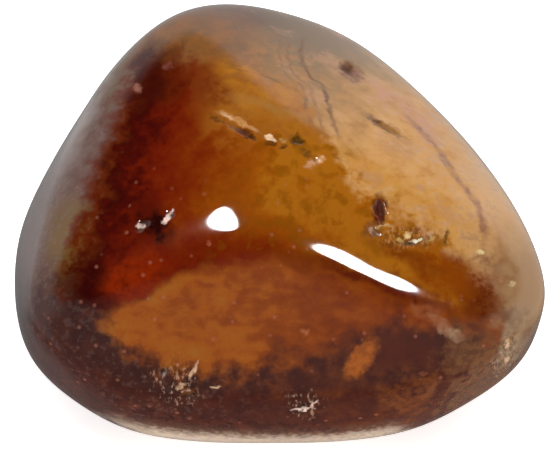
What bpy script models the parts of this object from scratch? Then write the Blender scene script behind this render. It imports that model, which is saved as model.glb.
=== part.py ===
"""A tumbled onyx pebble: a rounded triangle seen from the front, with worn flats, soft ridges and pits."""

import math

import bpy
import numpy as np
from mathutils import Matrix, Vector

MM = 0.001

# Driving dimensions
# The stone is the soft overlap of worn flats. Each flat has a bearing (0 to the front, 90 to the
# right, 180 to the back), the rise of its outward direction above level, both in degrees, and its
# distance from the heart of the stone in millimetres.
WORN_FLATS = {
    "top, left half": (-42, 68, 9.6),
    "top, right half": (30, 64, 9.6),
    "top, back right corner": (112, 66, 9.4),
    "front slope": (-2, 37, 10.1),
    "front side": (0, -14, 12.3),
    "front, underneath": (0, -50, 11.5),
    "right side, towards the back": (124, 33, 12.0),
    "right shoulder": (107, 18, 13.4),
    "left side, upper": (-96, 25, 13.7),
    "left side, towards the back": (-116, 24, 14.0),
    "left back shoulder": (-144, 38, 14.7),
    "back, upper": (170, 46, 14.8),
    "left corner, underneath": (-73, -19, 16.9),
    "left corner": (-88, 0, 15.5),
    "front left, underneath": (-42, -26, 14.5),
    "right corner, underneath": (66, -26, 16.5),
    "right corner": (92, -5, 15.4),
    "front right, underneath": (38, -26, 14.0),
    "back": (180, 5, 13.3),
    "base, left half": (-70, -77, 9.9),
    "base, right half": (65, -75, 9.9),
    "base, towards the back": (180, -70, 10.2),
    "back, underneath": (180, -30, 12.5),
}
# The higher the number, the flatter the flats and the sharper the ridges between them.
SHARPNESS = 14
# The rows of faces along each side of the six patches that cover the stone.
ROWS = 24
# The spot that the stone rests on is worn flat this far up from its lowest point.
REST_WEAR = 0.4 * MM

# Each pit runs from one direction to another, seen from the heart as bearing and rise in degrees,
# and has a width and a depth in millimetres.
PITS = {
    "round pit": ((151, 42), (146, 48), 1.1, 0.45),
    "slit": ((107, 56), (95, 45), 0.55, 0.35),
    "upright pit": ((50, 44), (43, 38), 0.75, 0.5),
    "upright pit foot": ((41, 37), (37, 36), 0.8, 0.25),
    "crack": ((-93, 70), (-8, 77), 0.4, 0.35),
    "crack end pit": ((10, 78), (36, 72), 0.5, 0.4),
    "crack end hollow": ((31, 68), (38, 65), 0.5, 0.3),
    "left pit": ((-52, 31), (-51, 35), 0.5, 0.35),
    "left pit, inner": ((-47, 38), (-46, 41), 0.45, 0.3),
    "right pit": ((44, 31), (49, 29), 0.4, 0.3),
    "front left pit": ((-30, 1), (-27, 3), 0.5, 0.3),
    "front left pit, lower": ((-23, -5), (-20, -4), 0.5, 0.3),
    "front pit": ((5, -9), (9, -7), 0.45, 0.3),
}

ONYX_COLOUR = (0.20, 0.062, 0.009, 1.0)
ONYX_ROUGHNESS = 0.1


def outward(bearing, rise):
    """The unit direction with this bearing and rise, both in degrees."""
    side = math.radians(bearing)
    up = math.radians(rise)
    return np.array(
        (math.sin(side) * math.cos(up), -math.cos(side) * math.cos(up), math.sin(up))
    )


FACINGS = np.array([outward(bearing, rise) for bearing, rise, _ in WORN_FLATS.values()])
DISTANCES = np.array([distance for _, _, distance in WORN_FLATS.values()]) * MM


def worn_surface(directions):
    """The point of the stone's surface along each unit direction from its heart."""
    reach = np.maximum(directions @ FACINGS.T, 0) / DISTANCES
    radius = (reach**SHARPNESS).sum(axis=1) ** (-1 / SHARPNESS)
    return directions * radius[:, None]


def surface_point(bearing, rise):
    return Vector(worn_surface(outward(bearing, rise)[None])[0])


def surface_normal(point):
    """The outward direction of the worn surface at one of its points."""
    reach = np.maximum(np.array(point) @ FACINGS.T, 0) / DISTANCES
    slope = (reach ** (SHARPNESS - 1) / DISTANCES) @ FACINGS
    return Vector(slope).normalized()


def new_collection(name):
    collection = bpy.data.collections.new(name)
    bpy.context.scene.collection.children.link(collection)
    return collection


def move_to(collection, item):
    for other in item.users_collection:
        other.objects.unlink(item)
    collection.objects.link(item)


# An empty scene, and the two collections
for item in list(bpy.data.objects):
    bpy.data.objects.remove(item, do_unlink=True)
stone_collection = new_collection("Onyx pebble")
cutter_collection = new_collection("Pit cutters")
cutter_collection.hide_render = True

# The stone, from a cube whose faces are parted into even rows and moved out onto the worn surface
bpy.ops.mesh.primitive_cube_add(size=2)
pebble = bpy.context.active_object
pebble.name = "pebble"
pebble.data.name = "pebble"
move_to(stone_collection, pebble)
bpy.ops.object.mode_set(mode="EDIT")
bpy.ops.mesh.select_all(action="SELECT")
bpy.ops.mesh.subdivide(number_cuts=ROWS - 1)
bpy.ops.object.mode_set(mode="OBJECT")
on_cube = np.array([vertex.co for vertex in pebble.data.vertices])
spread = np.tan(on_cube * math.pi / 4)
directions = spread / np.linalg.norm(spread, axis=1)[:, None]
on_stone = worn_surface(directions)

# The origin lies on the resting spot, below the middle of the stone as seen from above
low = on_stone.min(axis=0)
high = on_stone.max(axis=0)
heart = Vector((-(low[0] + high[0]) / 2, -(low[1] + high[1]) / 2, -low[2] - REST_WEAR))
for vertex, place in zip(pebble.data.vertices, on_stone):
    vertex.co = Vector(place) + heart
    # The spot that it rests on is worn flat
    vertex.co.z = max(vertex.co.z, 0)

# The pits, each cut by an egg that lies half in the surface along its run
for name, (start, end, width, depth) in PITS.items():
    first = surface_point(*start)
    last = surface_point(*end)
    middle = Vector(worn_surface(np.array(((first + last) / 2).normalized())[None])[0])
    normal = surface_normal(middle)
    along = last - first
    length = along.length
    along = (along - normal * along.dot(normal)).normalized()
    across = normal.cross(along)
    turn = Matrix((along, across, normal)).transposed().to_4x4()
    size = Matrix.Diagonal((length / 2, width * MM / 2, depth * MM, 1))
    bpy.ops.mesh.primitive_uv_sphere_add(segments=12, ring_count=8, radius=1)
    egg = bpy.context.active_object
    egg.name = "cutter, " + name
    move_to(cutter_collection, egg)
    egg.data.transform(Matrix.Translation(middle + heart) @ turn @ size)
    egg.display_type = "WIRE"
    egg.hide_render = True
    cut = pebble.modifiers.new(name.capitalize(), "BOOLEAN")
    cut.operation = "DIFFERENCE"
    cut.solver = "EXACT"
    cut.object = egg

# The polished onyx
onyx = bpy.data.materials.new("Polished onyx")
onyx.use_nodes = True
shader = onyx.node_tree.nodes["Principled BSDF"]
shader.inputs["Base Color"].default_value = ONYX_COLOUR
shader.inputs["Roughness"].default_value = ONYX_ROUGHNESS
shader.inputs["Metallic"].default_value = 0.0
shader.inputs["IOR"].default_value = 1.54
onyx.diffuse_color = ONYX_COLOUR
pebble.data.materials.append(onyx)
pebble.data.shade_smooth()
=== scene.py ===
import math

import bpy
import numpy as np
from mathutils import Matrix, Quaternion, Vector, noise


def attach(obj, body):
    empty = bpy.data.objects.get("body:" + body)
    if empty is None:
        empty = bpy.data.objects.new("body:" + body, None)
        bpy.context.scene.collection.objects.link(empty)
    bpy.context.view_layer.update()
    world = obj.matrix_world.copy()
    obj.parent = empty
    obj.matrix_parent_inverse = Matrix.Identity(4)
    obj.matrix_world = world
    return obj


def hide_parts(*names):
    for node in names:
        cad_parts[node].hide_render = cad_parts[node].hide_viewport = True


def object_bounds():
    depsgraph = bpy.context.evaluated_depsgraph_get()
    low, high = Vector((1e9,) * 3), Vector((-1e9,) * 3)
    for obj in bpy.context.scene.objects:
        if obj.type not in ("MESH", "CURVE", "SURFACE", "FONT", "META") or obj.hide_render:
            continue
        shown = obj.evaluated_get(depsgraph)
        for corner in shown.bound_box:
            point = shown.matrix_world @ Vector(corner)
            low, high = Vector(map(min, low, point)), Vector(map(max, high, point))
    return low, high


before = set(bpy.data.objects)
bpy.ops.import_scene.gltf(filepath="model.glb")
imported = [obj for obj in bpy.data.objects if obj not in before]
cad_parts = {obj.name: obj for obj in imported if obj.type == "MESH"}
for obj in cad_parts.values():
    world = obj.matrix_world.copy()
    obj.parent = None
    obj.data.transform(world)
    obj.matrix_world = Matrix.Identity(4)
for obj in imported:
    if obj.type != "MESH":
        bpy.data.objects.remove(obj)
cad_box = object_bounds()


# The stone
# A tumbled onyx pebble, one piece of banded chalcedony. Weeks in a turning barrel with grit wore its broken
# faces to bulging flats with soft ridges between them, left small pits and a crack where it was weak, and
# gave it a glassy polish.
MM = 0.001

# Each worn flat has a bearing (0 to the front, 90 to the right, 180 to the back), the rise of its outward
# direction above level, both in degrees, and its distance from the heart of the stone in millimetres.
worn_flats = {
    "top, left half": (-42, 68, 9.6),
    "top, right half": (30, 64, 9.6),
    "top, back right corner": (112, 66, 9.4),
    "front slope": (-2, 37, 10.1),
    "front side": (0, -14, 12.3),
    "front, underneath": (0, -50, 11.5),
    "right side, towards the back": (124, 33, 12.0),
    "right shoulder": (107, 18, 13.4),
    "left side, upper": (-96, 25, 13.7),
    "left side, towards the back": (-116, 24, 14.0),
    "left back shoulder": (-144, 38, 14.7),
    "back, upper": (170, 46, 14.8),
    "left corner, underneath": (-73, -19, 16.9),
    "left corner": (-88, 0, 15.5),
    "front left, underneath": (-42, -26, 14.5),
    "right corner, underneath": (66, -26, 16.5),
    "right corner": (92, -5, 15.4),
    "front right, underneath": (38, -26, 14.0),
    "back": (180, 5, 13.3),
    "base, left half": (-70, -77, 9.9),
    "base, right half": (65, -75, 9.9),
    "base, towards the back": (180, -70, 10.2),
    "back, underneath": (180, -30, 12.5),
}
# The higher the number, the flatter the flats and the sharper the ridges between them
sharpness = 14


def outward(bearing, rise):
    """The unit direction with this bearing and rise, both in degrees."""
    side = math.radians(bearing)
    lift = math.radians(rise)
    return Vector((math.sin(side) * math.cos(lift), -math.cos(side) * math.cos(lift), math.sin(lift)))


facings = np.array([outward(bearing, rise) for bearing, rise, _ in worn_flats.values()])
distances = np.array([distance for _, _, distance in worn_flats.values()])


def worn_surface(directions):
    """The point of the surface, in millimetres from the heart, along each unit direction."""
    reach = np.maximum(directions @ facings.T, 0) / distances
    radius = (reach**sharpness).sum(axis=1) ** (-1 / sharpness)
    return directions * radius[:, None]


def surface_normal(points):
    """The outward direction of the worn surface at each of its points."""
    reach = np.maximum(points @ facings.T, 0) / distances
    slope = (reach ** (sharpness - 1) / distances) @ facings
    return slope / np.linalg.norm(slope, axis=1)[:, None]


# A cube's faces are parted into even rows, each row in rows again, and moved out onto the worn surface. The
# rows are crowded towards the side that shows the most, where the pits are.
camera_rise = 40
seen_from = outward(0, camera_rise)
crowding = 0.35
cuts = 13
finer_cuts = 8
bpy.ops.object.select_all(action="DESELECT")
bpy.ops.mesh.primitive_cube_add(size=2)
pebble = bpy.context.active_object
pebble.name = "polished_pebble"
pebble.data.name = "polished_pebble"
bpy.ops.object.mode_set(mode="EDIT")
bpy.ops.mesh.subdivide(number_cuts=cuts)
bpy.ops.mesh.subdivide(number_cuts=finer_cuts)
bpy.ops.object.mode_set(mode="OBJECT")
points = np.empty(len(pebble.data.vertices) * 3)
pebble.data.vertices.foreach_get("co", points)
spread = np.tan(points.reshape(-1, 3) * math.pi / 4)
spread = spread / np.linalg.norm(spread, axis=1)[:, None]
spread = spread + crowding * np.array(seen_from)
points = worn_surface(spread / np.linalg.norm(spread, axis=1)[:, None])

# The heart's place in the frame puts the stone's box on the box of its solid
low, high = points.min(axis=0), points.max(axis=0)
cad_low, cad_high = (np.array(corner) / MM for corner in cad_box)
heart = (cad_low + cad_high) / 2 - (low + high) / 2
heart[2] = cad_high[2] - high[2]

# Tumbling never leaves a true flat: slow swells of a few hundredths of a millimetre bend the reflections.
# They only take away, so the stone keeps inside the box of its solid.
swell_height = 0.035
swell_length = 4.5
highest_swell = 0.6
swells = np.array([noise.noise(Vector(point) / swell_length) for point in points])
normals = surface_normal(points)
points = points - normals * (highest_swell - swells[:, None]).clip(0) * swell_height

# Each pit runs from one direction to another, seen from the heart as bearing and rise in degrees, and has
# a width and a depth in millimetres. Its outline and its floor are ragged.
pits = {
    "round pit": ((151, 42), (146, 48), 1.15, 0.4),
    "slit": ((107, 56), (95, 45), 0.7, 0.22),
    "upright pit": ((50, 44), (43, 38), 0.7, 0.5),
    "upright pit foot": ((41, 37), (37, 36), 0.8, 0.14),
    "crack": ((-87, 69), (-22, 75), 0.26, 0.14),
    "crack end pit": ((16, 78), (36, 74), 0.5, 0.08),
    "crack end hollow": ((31, 68), (38, 65), 0.5, 0.15),
    "left pit": ((-52, 31), (-51, 35), 0.5, 0.3),
    "left pit, inner": ((-47, 38), (-46, 41), 0.5, 0.3),
    "right pit": ((44, 31), (49, 29), 0.4, 0.25),
    "front left pit": ((-30, 1), (-27, 3), 0.5, 0.3),
    "front left pit, lower": ((-23, -5), (-20, -4), 0.5, 0.3),
    "front pit": ((5, -9), (9, -7), 0.45, 0.3),
}
ragged_lump = 1 / 3.5
ragged_outline = 0.7
ragged_floor = 0.6
# How hollow the surface is at each point, up to 1 where a pit is at least this deep, is kept for the pits'
# painted shade and grime, their roughness and their bumps
deep = 0.4
hollow = np.zeros(len(points))
for start, end, width, depth in pits.values():
    ends = worn_surface(np.array([outward(*start), outward(*end)]))
    along = Vector(ends[1] - ends[0])
    length = along.length
    middle = worn_surface(np.array([Vector(ends.mean(axis=0)).normalized()]))
    normal = Vector(surface_normal(middle)[0])
    along = (along - normal * along.dot(normal)).normalized()
    aside = normal.cross(along)
    offset = points - middle
    close = np.nonzero((offset**2).sum(axis=1) < (length + width) ** 2)[0]
    ragged = np.array([noise.noise(Vector(points[i]) / ragged_lump) for i in close])
    run = offset[close] @ np.array(along) / (length / 2)
    breadth = offset[close] @ np.array(aside) / (width / 2)
    out = np.sqrt(run**2 + breadth**2) * (1 + ragged_outline * ragged)
    sunk = (1 - out**2).clip(0) ** 1.5 * (1 + ragged_floor * ragged)
    points[close] -= np.array(normal) * (sunk * depth)[:, None]
    hollow[close] = np.maximum(hollow[close], (sunk * depth / deep).clip(0, 1))

# The spot that it rests on is worn flat
points = (points + heart) * MM
points[:, 2] = points[:, 2].clip(0)
pebble.data.vertices.foreach_set("co", points.ravel())
pebble.data.attributes.new("hollow", "FLOAT", "POINT").data.foreach_set("value", hollow)
pebble.data.update()
pebble.data.shade_smooth()

# The onyx: maroon to gold under the top, clouded tan along the right, amber on the front slope and
# purple-brown at the foot, with fine agate lines and milky specks. Light and shade are painted in as
# well: glints on small facets, the crack's lit lip and shadow, shade in the pits and on the foot, a dark
# line under the long glint, milky reflection at the upper left and paler light at the thin edges.
onyx = bpy.data.materials.new("Polished onyx")
onyx.use_nodes = True
onyx.node_tree.nodes.clear()


class Layer:
    """A node's output. Sums, differences and products of layers and numbers make their Math nodes."""

    tree = onyx.node_tree

    def __init__(self, socket):
        self.socket = socket

    @staticmethod
    def make(kind, settings=None, values=None, output=0):
        """One of the outputs of a new node, whose settings are set before its values and links."""
        node = Layer.tree.nodes.new(kind)
        for name, setting in (settings or {}).items():
            if name == "stops":
                for position, colour in setting[1:-1]:
                    node.color_ramp.elements.new(position).color = (*colour, 1)
                for element, (position, colour) in ((0, setting[0]), (-1, setting[-1])):
                    node.color_ramp.elements[element].position = position
                    node.color_ramp.elements[element].color = (*colour, 1)
            elif name == "points":
                line = node.mapping.curves[0].points
                for place in setting[1:-1]:
                    line.new(*place)
                line[0].location = setting[0]
                line[-1].location = setting[-1]
                node.mapping.update()
            else:
                setattr(node, name, setting)
        for name, value in (values or {}).items():
            if isinstance(value, Layer):
                Layer.tree.links.new(value.socket, node.inputs[name])
            else:
                node.inputs[name].default_value = value
        return Layer(node.outputs[output]) if node.outputs else None

    def math(self, operation, *others):
        return self.make("ShaderNodeMath", {"operation": operation}, dict(enumerate((self, *others))))

    def __add__(self, other):
        return self.math("ADD", other)

    def __sub__(self, other):
        return self.math("SUBTRACT", other)

    def __rsub__(self, other):
        return self.make("ShaderNodeMath", {"operation": "SUBTRACT"}, {0: other, 1: self})

    def __mul__(self, other):
        return self.math("MULTIPLY", other)

    __radd__ = __add__
    __rmul__ = __mul__


def rising(value, start, end):
    """0 where the value is at start, 1 where it is at end, with a soft change between."""
    settings = {"interpolation_type": "SMOOTHSTEP", "clamp": False}
    return Layer.make("ShaderNodeMapRange", settings, {"Value": value, 1: start, 2: end})


def along_line(value, line):
    """The second number of a line's points, where the value is its first."""
    first = [point[0] for point in line]
    second = [point[1] for point in line]
    low, span = min(second), max(second) - min(second)
    places = [((a - first[0]) / (first[-1] - first[0]), (b - low) / span) for a, b in line]
    part = (value - first[0]) * (1 / (first[-1] - first[0]))
    return Layer.make("ShaderNodeFloatCurve", {"points": places}, {"Value": part}) * span + low


def over(under, colour, mask):
    """The colour laid over another where the mask is 1."""
    colours = {6: under, 7: colour}
    values = {key: shade if isinstance(shade, Layer) else (*shade, 1) for key, shade in colours.items()}
    return Layer.make("ShaderNodeMix", {"data_type": "RGBA"}, {0: mask, **values}, output=2)


def grain(size, detail=2, roughness=0.5, place=None, output=0):
    """Cloudy noise with lumps of this size in millimetres."""
    values = {"Vector": place or from_heart, "Scale": 1 / size, "Detail": detail, "Roughness": roughness}
    return Layer.make("ShaderNodeTexNoise", {}, values, output)


# Places in the stone are in millimetres from its heart: across to the right, up the sloping face that the
# stone shows, and near, out of that face
object_place = Layer.make("ShaderNodeTexCoord", output="Object")
in_mm = Layer.make("ShaderNodeVectorMath", {"operation": "SCALE"}, {0: object_place, "Scale": 1 / MM})
from_heart = Layer.make("ShaderNodeVectorMath", {"operation": "SUBTRACT"}, {0: in_mm, 1: tuple(heart)})
slope_up = (0, math.sin(math.radians(camera_rise)), math.cos(math.radians(camera_rise)))


def face_places(vector):
    """How far across, up and near a place is, and the vector (across, up, 1)."""
    across = Layer.make("ShaderNodeSeparateXYZ", {}, {0: vector})
    up = Layer.make("ShaderNodeVectorMath", {"operation": "DOT_PRODUCT"}, {0: vector, 1: slope_up}, 1)
    out = {0: vector, 1: tuple(seen_from)}
    near = Layer.make("ShaderNodeVectorMath", {"operation": "DOT_PRODUCT"}, out, 1)
    face = Layer.make("ShaderNodeCombineXYZ", {}, {0: across, 1: up, 2: 1})
    return across, up, near, face


def wandering(size, reach):
    """The place moved by cloudy noise, this far at most, so that what is drawn at it gets natural edges."""
    values = {0: grain(size, 3, output=1), 1: (0.5, 0.5, 0.5)}
    cloud = Layer.make("ShaderNodeVectorMath", {"operation": "SUBTRACT"}, values)
    values = {0: cloud, 1: (reach, reach, reach), 2: from_heart}
    return Layer.make("ShaderNodeVectorMath", {"operation": "MULTIPLY_ADD"}, values)


def lumps(size, detail, place=None):
    """Cloudy noise with lumps of this size in millimetres, from -0.5 to 0.5."""
    return rising(grain(size, detail, 0.55, place), 0.3, 0.7) - 0.5


# Edges between the zones wander, the edges of chips are ragged, and lines keep their exact places
exact_across, exact_up, near, exact_face = face_places(from_heart)
across, up, _, face = face_places(wandering(1.8, 1.6))
_, _, _, ragged_face = face_places(wandering(0.4, 0.6))
front = rising(near, -4, 0)
broad_mottle = lumps(2.6, 2)
mottle = lumps(0.9, 3)
fine_mottle = lumps(0.35, 2)


def oval(at, long, wide, turn=0, soft=0.35, on=None):
    """1 inside an oval of this length and width, turned this many degrees, fading to 0 outside it."""
    cos, sin = math.cos(math.radians(turn)), math.sin(math.radians(turn))
    runs = []
    for half, (aside, upward) in ((long / 2, (cos, sin)), (wide / 2, (-sin, cos))):
        scale = (aside / half, upward / half, -(at[0] * aside + at[1] * upward) / half)
        values = {0: on or face, 1: scale}
        runs.append(Layer.make("ShaderNodeVectorMath", {"operation": "DOT_PRODUCT"}, values, 1))
    far = runs[0].math("MULTIPLY_ADD", runs[0], runs[1] * runs[1])
    return rising(far, (1 + soft) ** 2, (1 - soft) ** 2) * front


def shades(value, stops):
    """The colour that a value between 0 and 1 has on a ramp of stops."""
    return Layer.make("ShaderNodeValToRGB", {"stops": stops}, {0: value})


# Under the top: dark maroon at the left that clears to red, orange and gold towards the right
left_line = [(-12, -10.4), (-3.2, -11.5), (0.7, -11.2), (3.0, -10.6), (5.8, -9.7), (8.9, -8.6), (12, -7.6)]
right_of_line = across - along_line(up, left_line)
arch = [(-13, -4.9), (-11, -4.3), (-8, -3.3), (-5.5, -1.9), (-2.7, -1.2), (-1, -1.1), (1.2, -1.3)]
arch += [(4, -2.2), (6.8, -3.2), (8.6, -3.7), (13, -4.6)]
over_arch = up - along_line(across, arch)
red_foot = rising(over_arch, 3.4, 0.4) * rising(across, 4.5, -1)
gold = ((across * 0.95 - up * 0.31 + 10.3) * (1 / 9.3)).math("MAXIMUM", 0).math("MINIMUM", 1)
clearing = gold * (1 - red_foot * 0.6) + broad_mottle * 0.1 + mottle * 0.1 + fine_mottle * 0.07
body = shades(
    clearing,
    [
        (0.0, (0.038, 0.0015, 0.0007)),
        (0.12, (0.068, 0.003, 0.001)),
        (0.28, (0.15, 0.0095, 0.001)),
        (0.50, (0.20, 0.024, 0.001)),
        (0.70, (0.265, 0.055, 0.0015)),
        (0.88, (0.31, 0.074, 0.002)),
        (1.0, (0.38, 0.125, 0.006)),
    ],
)
body = over(body, (0.22, 0.075, 0.002), rising(mottle, 0.0, -0.5) * rising(gold, 0.6, 0.9) * 0.55)
body = over(body, (0.15, 0.022, 0.003), rising(right_of_line + mottle, 1.5, 0.1) * 0.75)
# Painted reflection: on the right the gold darkens towards the arch, the dark edge of the reflection under
# the long glint
glint_dark_edge = rising(over_arch + mottle * 0.8, 1.5, 0.2) * rising(across, 0, 5)
body = over(body, (0.19, 0.032, 0.002), glint_dark_edge * 0.8)

# A browner amber above the gold, then the clouded tan of the upper right, duller towards the top
amber = rising(up + mottle * 1.5, 4.9, 7.6) * rising(across, -5.4, -2.4)
body = over(body, over((0.43, 0.165, 0.017), (0.31, 0.10, 0.011), mottle + 0.5), amber)
tan_edge = [(-12, 10.4), (-7, 10.3), (-4.7, 10.1), (-2.2, 9.8), (-0.9, 9.4), (0.4, 9.0), (1.4, 8.4)]
tan_edge += [(2.3, 6.4), (3.2, 5.2), (4.5, 3.3), (6.8, 1.6), (9.0, 0.2), (11.2, -2.6), (15, -5)]
over_tan = up - along_line(across, tan_edge)
brightening = rising(across - up + broad_mottle * 2.5, -9.5, 1)
dull_tan = over((0.23, 0.13, 0.052), (0.35, 0.155, 0.04), mottle + fine_mottle * 0.6 + 0.5)
dull_rim = over((0.13, 0.08, 0.047), (0.22, 0.14, 0.08), rising(across, -2, 4))
dull_tan = over(dull_tan, dull_rim, rising(near, 2.5, -1.5))
clear_tan = shades(
    mottle * 0.6 + broad_mottle * 0.3 + fine_mottle * 0.15 + 0.5,
    [
        (0.05, (0.45, 0.19, 0.033)),
        (0.35, (0.55, 0.26, 0.058)),
        (0.65, (0.58, 0.29, 0.08)),
        (0.95, (0.61, 0.35, 0.16)),
    ],
)
tan = over(dull_tan, clear_tan, brightening)
tan = over(tan, (0.12, 0.015, 0.0), rising(across, 0.6, -2.4) * 0.4)
pink_cloud = rising(broad_mottle + fine_mottle * 0.4, 0.0, 0.6) * rising(across, -3.5, 0.5)
tan = over(tan, (0.43, 0.21, 0.12), pink_cloud * 0.5)
tan = over(tan, (0.58, 0.34, 0.16), rising(across, 9.2, 11.8) * 0.7)
tan = over(tan, (0.38, 0.20, 0.12), rising(fine_mottle + mottle, 0.0, 0.8) * rising(across, 6, 10) * 0.4)
body = over(body, tan, rising(over_tan + mottle * 0.8 + fine_mottle * 0.4, -0.7, 0.8))

# The right corner is browner, and paler again where its edge is thin: painted light at the edge
corner = rising(across + mottle * 1.0 + fine_mottle * 0.6, 10.3, 12.6) * rising(up, 2.5, -1.5)
corner_brown_and_edge_light = over((0.22, 0.09, 0.038), (0.32, 0.18, 0.085), rising(across + mottle, 11.8, 13.6))
body = over(body, corner_brown_and_edge_light, corner * 0.9)

# The left side: pinkish brown, olive in places, red-brown lower down, and milky grey towards its upper
# edge, partly painted reflection of the pale room
side = over((0.135, 0.062, 0.044), (0.10, 0.036, 0.022), mottle + 0.5)
side = over(side, (0.165, 0.085, 0.014), oval((-11.6, 0.2), 2.2, 3.6, 0, 0.7) * 0.8)
side = over(side, (0.14, 0.085, 0.04), rising(up, 6.5, 9) * 0.6)
# Partly painted reflection: milky grey towards the upper left edge
side = over(side, (0.28, 0.22, 0.20), rising(up, 2.0, 7.0) * rising(right_of_line, -0.6, -2))
side = over(side, (0.078, 0.02, 0.007), rising(up + mottle * 1.5, -0.6, -2.6) * 0.9)
side = over(side, (0.19, 0.13, 0.11), rising(fine_mottle, 0.1, 0.5) * 0.28)
body = over(body, side, rising(right_of_line + mottle * 0.9 + fine_mottle * 0.5, 0.4, -0.8))

# The amber front slope below the arch, streaked level, and the purple-brown foot below that, its darkness
# partly painted shade
values = {0: face, 1: (0.5, 1.4, 1.0)}
level_place = Layer.make("ShaderNodeVectorMath", {"operation": "MULTIPLY"}, values)
streaks = lumps(0.8, 4, level_place)
slope = shades(
    streaks * 0.25 + mottle * 0.25 + broad_mottle * 0.2 + rising(across, 5, -5.5) * 0.4 + 0.32,
    [
        (0.0, (0.14, 0.022, 0.004)),
        (0.3, (0.22, 0.037, 0.003)),
        (0.55, (0.27, 0.055, 0.004)),
        (0.74, (0.35, 0.083, 0.005)),
        (1.0, (0.36, 0.115, 0.010)),
    ],
)
body = over(body, slope, rising(over_arch + mottle * 0.4 + fine_mottle * 0.15, 0.5, -0.5))
foot_line = [(-13, -2.2), (-10.6, -3.2), (-9.3, -4.5), (-8.3, -5.8), (-7, -6.8), (-4.9, -7.0), (-2.7, -7.2)]
foot_line += [(0.1, -6.6), (2.9, -5.8), (5, -5.0), (7.5, -4.7), (13, -4.4)]
under_foot = up - along_line(across, foot_line)
to_right = rising(across, -8, 9)
# The foot's purple-brown, darkened as well by painted shade of the lower flank
foot = shades(
    mottle * 0.32 + fine_mottle * 0.1 + broad_mottle * 0.15 + to_right * 0.25 + 0.3,
    [
        (0.05, (0.038, 0.008, 0.006)),
        (0.25, (0.050, 0.012, 0.008)),
        (0.45, (0.070, 0.016, 0.009)),
        (0.65, (0.105, 0.025, 0.009)),
        (0.82, (0.16, 0.046, 0.012)),
        (0.98, (0.19, 0.075, 0.04)),
    ],
)
foot = over(foot, (0.18, 0.074, 0.026), rising(across + mottle * 3, 8.6, 11.4) * 0.85)
purple_cloud = rising(fine_mottle + mottle, 0.0, 0.5) * rising(across, 8, 11)
foot = over(foot, (0.075, 0.027, 0.018), purple_cloud * 0.6)
foot = over(foot, (0.17, 0.11, 0.09), rising(fine_mottle, 0.1, 0.5) * rising(across, 3, -6) * 0.18)
body = over(body, foot, rising(under_foot + mottle * 0.9 + broad_mottle + fine_mottle * 0.2, 1.0, -1.1))

# Painted light: the thin edge over the table is painted paler, as if it glowed with the table's light
low_edge = [(-14.5, -5), (-13.2, -7.6), (-11, -9.4), (-9, -10.3), (-6.4, -11.0), (-3, -11.3), (3, -11.3)]
low_edge += [(6.3, -10.8), (9, -9.9), (11, -8.8), (13, -7.5), (14.5, -5)]
above_edge = exact_up - along_line(exact_across, low_edge)
glow_edge_part = rising(across + mottle, -10.5, -6.5) * rising(across + mottle, 8, 5)
body = over(body, (0.20, 0.12, 0.075), rising(above_edge + fine_mottle * 0.3, 1.2, 0.2) * glow_edge_part * 0.6)
body = over(body, (0.65, 0.5, 0.38), rising(above_edge + fine_mottle * 0.2, 0.8, 0.1) * glow_edge_part * 0.9)

# Patches: the dark cap and the dark and red places at the left, the orange and milky ones at the lower
# right, pinkish ones in the tan, and a painted dark line under the long glint, the edge of its reflection.
# Each has its middle across and up, its length and width, the turn of its length up from level in degrees,
# its colour and its strength.
patches = [
    ((-6.1, 9.3), 1.8, 2.6, 0, (0.11, 0.013, 0.001), 0.7),
    ((-7.3, 9.6), 1.6, 3.2, -10, (0.048, 0.0035, 0.001), 0.85),
    ((-4.0, 8.9), 2.6, 1.4, -25, (0.17, 0.03, 0.004), 0.7),
    ((-8.2, -2.1), 3.8, 1.7, 25, (0.25, 0.019, 0.001), 0.75),
    ((-7.0, 1.1), 1.9, 2.1, 0, (0.03, 0.0015, 0.001), 0.55),
    ((-10.7, -1.9), 1.9, 2.6, -20, (0.035, 0.0015, 0.0008), 0.75),
    ((-10.3, -3.1), 2.0, 0.9, -20, (0.035, 0.0015, 0.0008), 0.75),
    ((7.0, -6.1), 2.8, 1.7, -10, (0.09, 0.016, 0.007), 0.75),
    ((7.2, -8.4), 2.4, 2.2, 20, (0.20, 0.06, 0.014), 0.35),
    ((13.3, -5.2), 3.6, 1.0, 65, (0.32, 0.20, 0.11), 0.7),
    ((8.4, -3.9), 1.6, 0.9, -20, (0.30, 0.09, 0.03), 0.6),
    ((10.5, -2.0), 2.6, 1.5, -50, (0.17, 0.026, 0.002), 0.8),
    ((11.1, -3.3), 1.9, 1.6, -50, (0.12, 0.018, 0.002), 0.85),
    ((9.0, -1.5), 3.4, 1.8, -35, (0.24, 0.048, 0.001), 0.8),
    ((1.4, -1.0), 3.0, 0.9, -8, (0.19, 0.032, 0.001), 0.7),
    ((7.1, -0.8), 3.8, 0.9, -20, (0.19, 0.038, 0.002), 0.6),
    # Painted reflection: a dark line just under the long glint
    ((5.3, -2.15), 6.8, 0.7, -22.5, (0.12, 0.013, 0.003), 0.85),
    ((-0.5, 7.6), 4.5, 0.6, -20, (0.36, 0.16, 0.035), 0.6),
    ((6.2, 8.4), 2.6, 0.8, -35, (0.50, 0.23, 0.14), 0.5),
    ((8.0, 6.7), 2.4, 0.9, -48, (0.48, 0.22, 0.14), 0.5),
]
for at, long, wide, turn, colour, strength in patches:
    clouding = mottle * 0.5 + fine_mottle * 0.4 + strength
    body = over(body, colour, oval(at, long, wide, turn, 0.6) * clouding)

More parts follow.
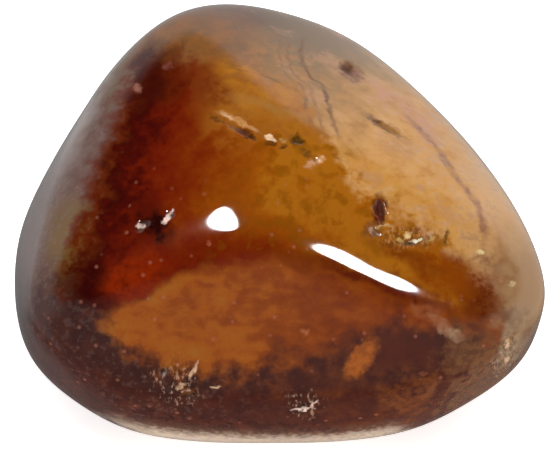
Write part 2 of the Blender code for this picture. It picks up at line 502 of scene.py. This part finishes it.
# The agate lines: one down the tan with two fainter ones beside it, one along the tan's right, and one
# where the tan meets the amber. Each point is a place up the stone, and how far across the line is there.
tan_line = [(5.5, 3.6), (6.2, 3.3), (6.8, 3.1), (7.8, 2.8), (8.7, 2.6), (9.3, 1.9), (10.1, 1.4)]
tan_line += [(11.1, 1.3), (11.9, 1.8)]
right_line = [(-0.6, 11.5), (0.2, 11.5), (1.7, 11.3), (2.9, 10.6), (3.5, 10.1), (4.5, 9.5), (5.5, 8.8)]
right_line += [(6.6, 7.8), (7.5, 6.9)]
border_line = [(7.4, 2.1), (8.3, 1.3), (8.8, 0.5), (9.4, -0.8), (9.75, -2.2), (10.0, -3.6), (10.3, -4.8)]
line_wobble = (grain(0.6, 3) - 0.5) * 0.6
for line, beside, width, strength, colour in (
    (tan_line, 0, 0.22, 0.75, (0.15, 0.06, 0.02)),
    (tan_line, -0.75, 0.18, 0.35, (0.17, 0.07, 0.02)),
    (tan_line, -1.25, 0.16, 0.3, (0.17, 0.07, 0.02)),
    (right_line, 0, 0.34, 0.65, (0.25, 0.10, 0.055)),
    (border_line, 0, 0.30, 0.55, (0.17, 0.075, 0.012)),
):
    aside = (exact_across + line_wobble - along_line(exact_up, line) - beside).math("ABSOLUTE")
    ends = rising(exact_up, line[0][0], line[0][0] + 1.2) * rising(exact_up, line[-1][0], line[-1][0] - 0.6)
    body = over(body, colour, rising(aside, width, 0.02) * ends * front * (mottle * 0.6 + strength))

# Sparse pale specks
speck_cells = {"Vector": from_heart, "Scale": 1.3}
from_speck = Layer.make("ShaderNodeTexVoronoi", {}, speck_cells)
speck_chance = Layer.make("ShaderNodeTexVoronoi", {}, speck_cells, 1)
specks = rising(from_speck, 0.22, 0.04) * rising(speck_chance, 0.5, 0.6)
body = over(body, (0.42, 0.15, 0.09), specks * rising(over_tan, 0.5, -0.5) * rising(up, 6, 1) * 0.45)

# Painted shade and grime: pits are darker inside, the deeper the darker
in_pit = Layer.make("ShaderNodeAttribute", {"attribute_name": "hollow"}, output="Fac")
body = over(body, (0.09, 0.027, 0.005), rising(in_pit, 0.02, 0.6) * 0.8)

# Broken places: ground that is cracked into short dark dashes and pale ones, the pale dashes painted glints
# off its facets, and small marks: chips, dark pits, glints painted off small facets, and the crack's
# painted lit lip beside its painted shadow. The small marks are listed as the patches are.
broken = oval((-5.6, -7.9), 2.7, 2.5, 0, 0.45) + oval((7.2, 0.35), 3.2, 1.1, 5, 0.45) * 0.8
broken = broken + oval((1.5, -8.9), 1.9, 1.3, 0, 0.45) * 0.8 + oval((12.6, -6.4), 2.4, 1.0, 65, 0.45) * 0.7
values = {0: exact_face, 1: (1.5, 1.0, 1.0)}
dash_place = Layer.make("ShaderNodeVectorMath", {"operation": "MULTIPLY"}, values)
dashes = grain(0.3, 2, 0.6, dash_place)
body = over(body, (0.028, 0.009, 0.006), rising(dashes, 0.52, 0.42) * broken * 0.6)
# Painted glints: pale dashes where the broken ground's facets catch the light
body = over(body, (0.46, 0.29, 0.2), rising(dashes, 0.55, 0.68) * broken * 0.75)
# The pale and brightest colours below paint glints off small facets, and the pale one also the crack's lit
# lip
pale = (0.72, 0.45, 0.27)
painted_glint = (0.95, 0.7, 0.6)
brown = (0.10, 0.030, 0.007)
black_red = (0.02, 0.0015, 0.001)
small_marks = [
    # Along the crack: painted shadow below its edge
    ((-3.45, 6.95), 0.8, 0.22, -30, (0.13, 0.04, 0.006), 0.6),
    ((-1.80, 6.12), 1.0, 0.3, -32, (0.08, 0.02, 0.004), 0.85),
    ((-0.45, 5.60), 0.55, 0.22, -20, (0.10, 0.03, 0.006), 0.85),
    # Painted highlight on the crack's lit upper lip
    ((-2.30, 6.84), 2.0, 0.32, -27, (0.58, 0.28, 0.095), 0.8),
    ((-2.85, 7.08), 0.7, 0.2, -30, pale, 0.7),
    ((-1.35, 6.32), 0.6, 0.24, -25, (0.5, 0.25, 0.1), 0.75),
    ((-0.48, 5.87), 0.65, 0.3, -30, (0.85, 0.6, 0.36), 0.9),
    # Spots and small dark pits past the crack's end
    ((0.25, 5.75), 0.35, 0.25, 0, (0.45, 0.28, 0.09), 0.7),
    ((0.28, 5.38), 0.4, 0.25, 0, brown, 0.8),
    ((1.03, 5.76), 0.75, 0.5, -20, (0.075, 0.03, 0.003), 0.9),
    ((1.50, 5.05), 0.65, 0.38, -30, (0.15, 0.06, 0.01), 0.75),
    # The next two: painted glints off small facets
    ((2.37, 4.69), 0.5, 0.32, 15, (0.85, 0.5, 0.25), 0.7),
    ((1.84, 4.42), 0.6, 0.42, 20, (0.6, 0.32, 0.17), 0.65),
    ((3.30, 4.80), 0.5, 0.2, -30, (0.20, 0.09, 0.02), 0.6),
    ((4.6, -6.45), 2.2, 1.05, 52, (0.42, 0.11, 0.014), 0.85),
    ((9.5, -4.95), 1.4, 0.6, -25, (0.42, 0.24, 0.14), 0.5),
    ((8.9, -4.3), 1.3, 0.5, -35, (0.33, 0.12, 0.05), 0.6),
    ((6.22, 6.41), 2.6, 0.45, -31, (0.28, 0.13, 0.04), 0.6),
    ((5.50, 6.85), 0.9, 0.3, -31, (0.13, 0.05, 0.012), 0.7),
    ((6.60, 5.40), 2.0, 1.0, -30, (0.45, 0.20, 0.04), 0.45),
    ((4.15, 9.70), 1.3, 0.95, -40, (0.17, 0.062, 0.022), 0.85),
    ((3.90, 9.92), 0.6, 0.45, -40, (0.09, 0.03, 0.010), 0.8),
    ((4.35, 9.55), 0.5, 0.4, -40, (0.20, 0.055, 0.025), 0.7),
    ((5.62, 1.95), 1.6, 0.66, 86, (0.10, 0.010, 0.002), 0.85),
    ((5.25, 0.75), 1.0, 0.8, 40, (0.17, 0.06, 0.02), 0.6),
    ((5.93, 0.95), 1.0, 0.2, 4, (0.60, 0.38, 0.17), 0.6),
    ((5.10, 0.75), 0.4, 0.25, -30, (0.6, 0.4, 0.3), 0.5),
    ((7.55, 0.10), 1.8, 0.4, 5, (0.17, 0.07, 0.01), 0.6),
    # The next four: painted glints off small facets
    ((7.16, 0.45), 0.4, 0.25, 30, (0.8, 0.55, 0.24), 0.7),
    ((7.66, 0.13), 0.6, 0.14, 12, (1.0, 0.9, 0.6), 0.9),
    ((6.76, 0.17), 0.35, 0.2, -20, (0.7, 0.5, 0.15), 0.6),
    ((8.55, 0.28), 0.35, 0.2, 20, (0.6, 0.4, 0.1), 0.5),
    ((9.34, 0.33), 0.25, 0.9, -8, (0.15, 0.06, 0.008), 0.75),
    ((-6.85, 1.05), 1.1, 0.95, 50, black_red, 0.9),
    ((-6.60, 0.45), 0.5, 0.8, 20, black_red, 0.7),
    # Painted glints beside the left pit
    ((-7.70, 0.98), 0.4, 0.24, 10, painted_glint, 0.85),
    ((-6.25, 1.38), 0.6, 0.25, 40, painted_glint, 0.9),
    ((-5.98, 1.70), 0.5, 0.14, 50, painted_glint, 0.7),
    # The next seven: painted glints off small facets on the broken ground
    ((-4.76, -7.07), 0.9, 0.17, 62, pale, 0.8),
    ((-5.40, -7.95), 0.6, 0.22, 25, pale, 0.7),
    ((-3.54, -8.05), 0.5, 0.12, 0, pale, 0.6),
    ((1.31, -9.26), 0.9, 0.12, 5, painted_glint, 0.8),
    ((1.98, -8.95), 0.5, 0.14, 45, painted_glint, 0.75),
    ((12.74, -5.63), 0.42, 0.3, 70, pale, 0.75),
    ((12.80, -6.55), 0.3, 0.24, 60, pale, 0.6),
    ((8.04, -7.23), 0.75, 0.5, 0, (0.045, 0.01, 0.006), 0.6),
    ((8.04, -7.20), 0.4, 0.2, 0, (0.19, 0.06, 0.03), 0.7),
    ((1.42, -4.89), 0.5, 0.4, 0, (0.42, 0.13, 0.04), 0.7),
    ((-3.86, 0.0), 0.3, 0.26, 0, (0.35, 0.09, 0.04), 0.7),
    ((-7.91, 8.75), 0.4, 0.5, 20, (0.36, 0.14, 0.11), 0.65),
    ((-6.23, 9.97), 0.4, 0.35, 0, (0.20, 0.06, 0.045), 0.6),
    ((11.24, -0.50), 0.35, 0.3, 0, (0.75, 0.6, 0.3), 0.6),
    ((13.07, -2.23), 0.3, 0.2, 30, (0.75, 0.6, 0.3), 0.5),
]
for at, long, wide, turn, colour, strength in small_marks:
    mark_mask = oval(at, long, wide, turn, 0.5, on=ragged_face)
    body = over(body, colour, mark_mask * (fine_mottle * 0.5 + strength))

# The polish is glassy, dull in the pits and a little dull on the broken ground, which is rough to the touch
relief = in_pit * grain(0.15, 2) * 3 + broken * dashes * 2
rough_ground = Layer.make("ShaderNodeBump", {}, {"Strength": 0.3, "Distance": 0.02 * MM, "Height": relief})
polished = Layer.make(
    "ShaderNodeBsdfPrincipled",
    {},
    {
        "Base Color": body,
        "Roughness": rising(in_pit, 0.0, 0.3) * 0.25 + broken * 0.12 + 0.04,
        "Normal": rough_ground,
        "IOR": 1.54,
        "Subsurface Weight": 0.25,
        "Subsurface Radius": (1.0, 0.35, 0.12),
        "Subsurface Scale": 0.4 * MM,
    },
)
Layer.make("ShaderNodeOutputMaterial", {}, {"Surface": polished})
pebble.data.materials.append(onyx)
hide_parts("pebble")
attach(pebble, "root")


# The floor
# A wide pale table top. It isn't part of the stone. It takes no part in the stone's light and reflections:
# the room's lower half and the lamp under it stand for what it would give back.
table_size = 4
bpy.ops.object.select_all(action="DESELECT")
bpy.ops.mesh.primitive_plane_add(size=table_size)
floor = bpy.context.active_object
floor.name = "floor"
table_paint = bpy.data.materials.new("Pale floor")
table_paint.use_nodes = True
table_shader = table_paint.node_tree.nodes["Principled BSDF"]
table_shader.inputs["Base Color"].default_value = (0.9, 0.9, 0.9, 1)
table_shader.inputs["Roughness"].default_value = 0.9
table_shader.inputs["Specular IOR Level"].default_value = 0.0
table_shader.inputs["Emission Color"].default_value = (1, 1, 1, 1)
table_shader.inputs["Emission Strength"].default_value = 0.75
table_paint.cycles.emission_sampling = "NONE"
floor.data.materials.append(table_paint)
floor.visible_glossy = False
floor.visible_diffuse = False
floor.visible_shadow = False


# The light
# A pale room that is darker overhead and in front, one wide soft lamp above that lights the stone without
# showing in it, one under the table for the light that the table gives back, and two small lamps whose
# mirror images are the stone's two glints.
world = bpy.data.worlds.new("Studio")
bpy.context.scene.world = world
world.use_nodes = True
world.node_tree.nodes.clear()
Layer.tree = world.node_tree
direction = Layer.make("ShaderNodeTexCoord", output="Generated")
aside, ahead, height = (Layer.make("ShaderNodeSeparateXYZ", {}, {0: direction}, part) for part in range(3))
# From straight down to straight up: the table, the walls, the pale ceiling's edge and the dark overhead
levels = [(0.0, 0.1), (0.17, 0.18), (0.27, 0.6), (0.5, 0.8), (0.81, 1.0), (0.88, 0.03), (1.0, 0.02)]
by_height = shades((height + 1) * 0.5, [(position, (level, level, level)) for position, level in levels])
by_side = Layer.make("ShaderNodeMapRange", {}, {"Value": aside, 1: -0.9, 2: 0.9, 3: 0.75, 4: 0.85})
by_front = rising(ahead, -0.75, -0.35) * 0.7 + 0.3
room = Layer.make("ShaderNodeBackground", {}, {"Color": by_height, "Strength": by_side * by_front})
Layer.make("ShaderNodeOutputWorld", {}, {"Surface": room})


def lamp(name, place, target, width, height, glow, turn=0):
    """An oval lamp at a place, facing its target and turned this many degrees about the line to it."""
    bpy.ops.object.light_add(type="AREA", location=place)
    made = bpy.context.active_object
    made.name = name
    made.data.shape = "ELLIPSE"
    made.data.size = width
    made.data.size_y = height
    area = math.pi * width * height / 4
    made.data.energy = glow * math.pi * area
    facing = (Vector(target) - Vector(place)).to_track_quat("-Z", "Y")
    made.rotation_euler = (facing @ Quaternion((0, 0, 1), math.radians(turn))).to_euler()
    made.visible_camera = False
    return made


middle_of_stone = Vector(heart) * MM
soft_lamp = lamp("soft_lamp", (0.05, -0.05, 0.7), middle_of_stone, 1.1, 1.1, 2.15)
soft_lamp.visible_glossy = False
table_glow = lamp("table_glow", (0, 0, -0.6), middle_of_stone, 3.4, 3.4, 2.5)
table_glow.visible_glossy = False

# Each glint has the bearing and rise of its spot on the stone, and its lamp's width, height and turn
distance_mm = 500
camera_place = middle_of_stone + seen_from * distance_mm * MM
lamp_away = 0.4
glint_glow = 45
glints = {
    "round_glint": ((-26.1, 44.45), 0.165, 0.032, -28),
    "long_glint": ((31.6, 27.0), 0.066, 0.025, 40.2),
}
for name, (where, width, height, turn) in glints.items():
    spot = worn_surface(np.array([outward(*where)]))
    facing = Vector(surface_normal(spot)[0])
    spot = middle_of_stone + Vector(spot[0]) * MM
    to_camera = (camera_place - spot).normalized()
    to_lamp = 2 * facing.dot(to_camera) * facing - to_camera
    small_lamp = lamp(name, spot + to_lamp * lamp_away, spot, width, height, glint_glow, turn)
    small_lamp.visible_diffuse = False


# The camera
# It looks down at the stone's front from 40 degrees above level and half a metre away. The picture is 560
# by 466 pixels, and places in it are counted from its upper left corner.
photo_width = 560
photo_centre = (280, 233)
heart_in_photo = (278.5, 243)
mm_per_pixel = 0.0567
shift_across = (photo_centre[0] - heart_in_photo[0]) * mm_per_pixel
shift_up = (heart_in_photo[1] - photo_centre[1]) * mm_per_pixel
aim = Vector(heart) + Vector((shift_across, 0, 0)) + Vector(slope_up) * shift_up
bpy.ops.object.camera_add(location=(aim + seen_from * distance_mm) * MM)
camera = bpy.context.active_object
camera.name = "camera"
camera.rotation_euler = (-seen_from).to_track_quat("-Z", "Y").to_euler()
camera.data.sensor_width = 36
camera.data.lens = camera.data.sensor_width * distance_mm / (photo_width * mm_per_pixel)
camera.data.clip_start = 0.01
bpy.context.scene.camera = camera
bpy.context.scene.view_settings.view_transform = "Standard"
